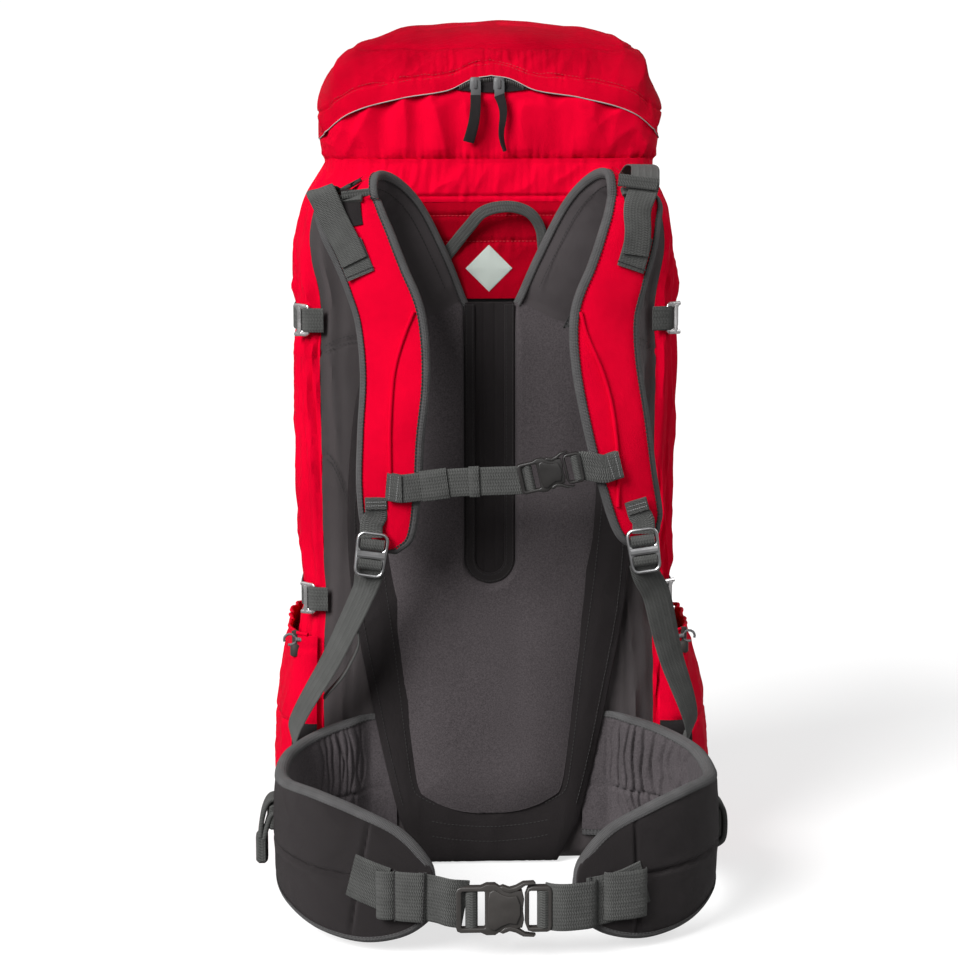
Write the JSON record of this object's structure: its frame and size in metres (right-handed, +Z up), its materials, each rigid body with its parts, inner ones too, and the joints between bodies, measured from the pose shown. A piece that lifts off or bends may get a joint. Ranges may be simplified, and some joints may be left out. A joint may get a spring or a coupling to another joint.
{
  "type": "mountaineering backpack",
  "caption": "Tall top-loading mountaineering backpack with a zipped lid, padded back, curved shoulder straps, side pockets, compression straps and a padded hip belt, standing upright.",
  "frame": {"origin": "centre of the flat base, on the surface that the pack stands on", "axes": "+Z up the pack, -Y toward the wearer, out of the padded back, and +X to the right when the padded back is looked at"},
  "size_m": [0.4252, 0.5404, 0.7704],
  "materials": {
    "red_nylon": "bright crimson woven nylon with a soft sheen",
    "charcoal_cloth": "charcoal woven nylon",
    "black_pad": "black stretch cloth over foam",
    "grey_pad": "mauve-grey knitted spacer mesh over foam",
    "webbing": "grey ribbed polyester webbing",
    "plastic": "dark moulded acetal",
    "metal": "polished alloy"
  },
  "bodies": {
    "root": {"bag_back": "charcoal_cloth", "bag_front": "red_nylon", "bag_side_right": "red_nylon", "bag_side_left": "red_nylon", "bag_base": "black_pad", "lid_top": "red_nylon", "lid_lower": "red_nylon", "lid_base": "red_nylon", "lid_zip": "black_pad", "zip_pull_left": "black_pad", "zip_pull_right": "black_pad", "lid_hinge_panel": "red_nylon", "back_border": "black_pad", "back_pad": "grey_pad", "spine_channel": "black_pad", "back_yoke": "red_nylon", "grab_handle": "webbing", "sternum_socket": "plastic", "sternum_prong": "plastic", "sternum_web_left": "webbing", "sternum_web_right": "webbing", "hip_wing_left": "black_pad", "hip_wing_right": "black_pad", "hip_loop_left": "webbing", "hip_loop_right": "webbing", "hip_web_left": "webbing", "hip_web_right": "webbing", "hip_socket": "plastic", "hip_prong": "plastic", "shoulder_strap_left": "red_nylon", "shoulder_strap_right": "red_nylon", "lifter_web_left": "webbing", "lifter_web_right": "webbing", "lifter_lock_left": "plastic", "lifter_lock_right": "plastic", "strap_tab_left": "webbing", "strap_tab_right": "webbing", "strap_lock_left": "plastic", "strap_lock_right": "plastic", "lower_web_left": "webbing", "lower_web_right": "webbing", "side_pocket_left": "red_nylon", "side_pocket_right": "red_nylon", "pocket_lock_left": "plastic", "pocket_lock_right": "plastic", "side_web_upper_left": "webbing", "side_web_upper_right": "webbing", "side_web_lower_left": "webbing", "side_web_lower_right": "webbing", "side_hook_upper_left": "metal", "side_hook_upper_right": "metal", "side_hook_lower_left": "metal", "side_hook_lower_right": "metal"}
  },
  "joints": []
}
